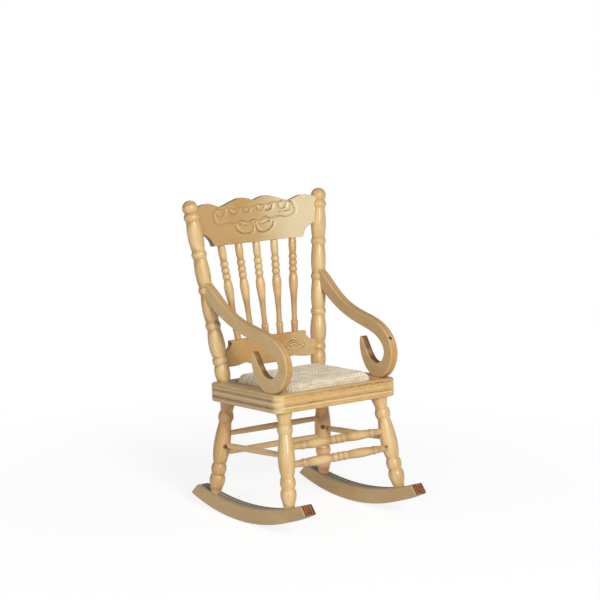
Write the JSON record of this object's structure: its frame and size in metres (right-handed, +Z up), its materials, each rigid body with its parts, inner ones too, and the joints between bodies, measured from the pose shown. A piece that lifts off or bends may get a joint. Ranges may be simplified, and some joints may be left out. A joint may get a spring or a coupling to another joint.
{
  "type": "rocking chair",
  "caption": "Wooden rocking chair with a pressed crest rail, turned spindles and posts, scrolled arms, a ply seat with a string-wound pad, and curved rockers.",
  "frame": {"origin": "on the floor, in the middle of the bounding box", "axes": "+Z up, the sitter faces -Y, +X is to the right seen from the front; the chair is rocked back to where it balances"},
  "size_m": [0.0528, 0.059, 0.0938],
  "materials": {
    "turned_wood": "clear satin varnish on pale honey hardwood",
    "pressed_wood": "clear satin varnish on pale pressed hardwood",
    "sawn_ply": "thin varnish, layers and end grain visible at the sawn edges",
    "seat_string": "matt unbleached cotton string",
    "pad_board": "raw board, hidden"
  },
  "bodies": {
    "root": {"crest_rail": "pressed_wood", "front_left_leg": "turned_wood", "front_lower_stretcher": "turned_wood", "front_right_leg": "turned_wood", "front_upper_stretcher": "turned_wood", "left_arm": "sawn_ply", "left_back_post": "turned_wood", "left_rocker": "sawn_ply", "left_side_stretcher": "turned_wood", "lower_back_rail": "pressed_wood", "pad_board": "pad_board", "pad_winding": "seat_string", "rear_left_leg": "turned_wood", "rear_lower_stretcher": "turned_wood", "rear_right_leg": "turned_wood", "rear_upper_stretcher": "turned_wood", "right_arm": "sawn_ply", "right_back_post": "turned_wood", "right_rocker": "sawn_ply", "right_side_stretcher": "turned_wood", "seat_frame": "sawn_ply", "spindle_1": "turned_wood", "spindle_2": "turned_wood", "spindle_3": "turned_wood", "spindle_4": "turned_wood", "spindle_5": "turned_wood"}
  },
  "joints": []
}
